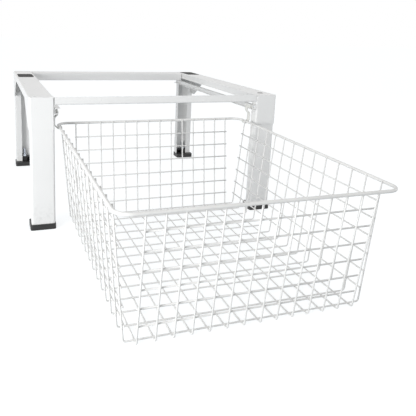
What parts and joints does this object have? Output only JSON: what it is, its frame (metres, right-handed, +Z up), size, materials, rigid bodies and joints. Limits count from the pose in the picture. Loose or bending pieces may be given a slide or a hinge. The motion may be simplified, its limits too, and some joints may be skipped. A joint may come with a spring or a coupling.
{
  "type": "washing machine stand with pull-out basket",
  "caption": "White sheet-steel stand that raises a washing machine on levelling feet, with a wire basket that slides out under it.",
  "frame": {"origin": "bottom centre of the whole part with the basket drawn out, on the floor under the centre of its outline, 7 mm behind the runner shoes' middle", "axes": "+X to the right seen from the front, +Y from the basket to the back of the stand, +Z up"},
  "size_m": [0.602, 1.128, 0.3],
  "materials": {
    "white_powder_coat": "glossy powder coat",
    "white_coated_wire": "smooth white coating",
    "black_plastic": "moulded, satin",
    "black_rubber": "matt",
    "zinc_plated_steel": "bright zinc",
    "white_nylon": "moulded, satin"
  },
  "bodies": {
    "stand": {"side_rail_left": "white_powder_coat", "side_rail_right": "white_powder_coat", "front_bar": "white_powder_coat", "rear_bar": "white_powder_coat", "runner_left": "white_powder_coat", "runner_right": "white_powder_coat", "leg_front_left": "white_powder_coat", "leg_front_right": "white_powder_coat", "leg_rear_left": "white_powder_coat", "leg_rear_right": "white_powder_coat", "foot_cap_front_left": "black_plastic", "foot_cap_front_right": "black_plastic", "foot_cap_rear_left": "black_plastic", "foot_cap_rear_right": "black_plastic", "rubber_pad_left": "black_rubber", "rubber_pad_right": "black_rubber", "rail_plug_right": "black_rubber", "levelling_nut_front_left": "zinc_plated_steel", "levelling_nut_front_right": "zinc_plated_steel", "levelling_nut_rear_left": "zinc_plated_steel", "levelling_nut_rear_right": "zinc_plated_steel", "corner_bolts_front_left": "zinc_plated_steel", "corner_bolts_front_right": "zinc_plated_steel", "corner_bolts_rear_left": "zinc_plated_steel", "corner_bolts_rear_right": "zinc_plated_steel"},
    "shoes": {"runner_shoe_left": "white_nylon", "runner_shoe_right": "white_nylon"},
    "basket": {"basket_rim": "white_coated_wire", "basket_long_wires": "white_coated_wire", "basket_cross_wires": "white_coated_wire", "basket_front_wires": "white_coated_wire", "basket_back_wires": "white_coated_wire", "basket_left_wires": "white_coated_wire", "basket_right_wires": "white_coated_wire"},
    "levelling_screw_front_left": {"levelling_screw_front_left": "zinc_plated_steel"},
    "levelling_screw_front_right": {"levelling_screw_front_right": "zinc_plated_steel"},
    "levelling_screw_rear_left": {"levelling_screw_rear_left": "zinc_plated_steel"},
    "levelling_screw_rear_right": {"levelling_screw_rear_right": "zinc_plated_steel"}
  },
  "joints": [
    {"name": "basket_slide", "type": "slide", "parent": "stand", "child": "shoes", "axis": [0, 1, 0], "range_m": [0, 0.527]},
    {"name": "basket_droop", "type": "hinge", "parent": "shoes", "child": "basket", "pos_m": [0, -0.00704, 0.229], "axis": [-1, 0, 0], "range_deg": [0, 1]},
    {"name": "levelling_screw_front_left_travel", "type": "slide", "parent": "stand", "child": "levelling_screw_front_left", "axis": [0, 0, -1], "range_m": [0, 0.012]},
    {"name": "levelling_screw_front_right_travel", "type": "slide", "parent": "stand", "child": "levelling_screw_front_right", "axis": [0, 0, -1], "range_m": [0, 0.012]},
    {"name": "levelling_screw_rear_left_travel", "type": "slide", "parent": "stand", "child": "levelling_screw_rear_left", "axis": [0, 0, -1], "range_m": [0, 0.012]},
    {"name": "levelling_screw_rear_right_travel", "type": "slide", "parent": "stand", "child": "levelling_screw_rear_right", "axis": [0, 0, -1], "range_m": [0, 0.012]}
  ],
  "couplings": [
    {"joint": "basket_droop", "follows": "basket_slide", "rad_per_m": 0.03311}
  ]
}
